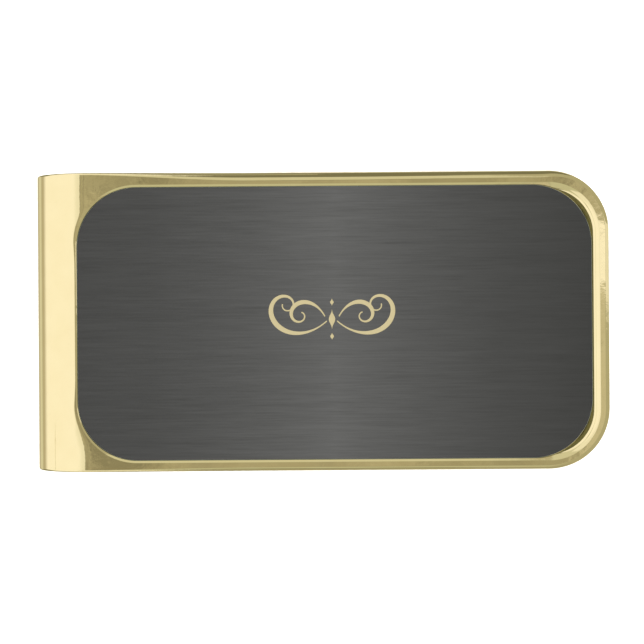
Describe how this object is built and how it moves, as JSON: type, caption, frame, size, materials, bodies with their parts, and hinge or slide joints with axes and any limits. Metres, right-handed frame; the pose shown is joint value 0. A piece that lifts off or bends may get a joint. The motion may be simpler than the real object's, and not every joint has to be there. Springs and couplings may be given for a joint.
{
  "type": "money clip",
  "caption": "Folded metal money clip with a rounded front plate, a recessed printed insert and a sprung back leg that grips banknotes.",
  "frame": {"origin": "on the surface the clip rests on, under the middle of its overall box", "axes": "+Z out of the front plate, +X from the fold to the open end, +Y completing a right-handed frame"},
  "size_m": [0.0508, 0.0264, 0.0064],
  "materials": {
    "gold_plated_brass": "polished",
    "printed_aluminium": "satin",
    "adhesive_film": "matte"
  },
  "bodies": {
    "front": {"front_frame": "gold_plated_brass", "insert_plate": "printed_aluminium", "adhesive_pad": "adhesive_film"},
    "leg": {"spring_leg": "gold_plated_brass"}
  },
  "joints": [
    {"name": "leg_flex", "type": "hinge", "parent": "front", "child": "leg", "pos_m": [-0.0254, 0, 0.0032], "axis": [0, 1, 0], "range_deg": [0, 6], "stiffness_Nm_per_rad": 1.5, "springref_deg": -1.15}
  ]
}
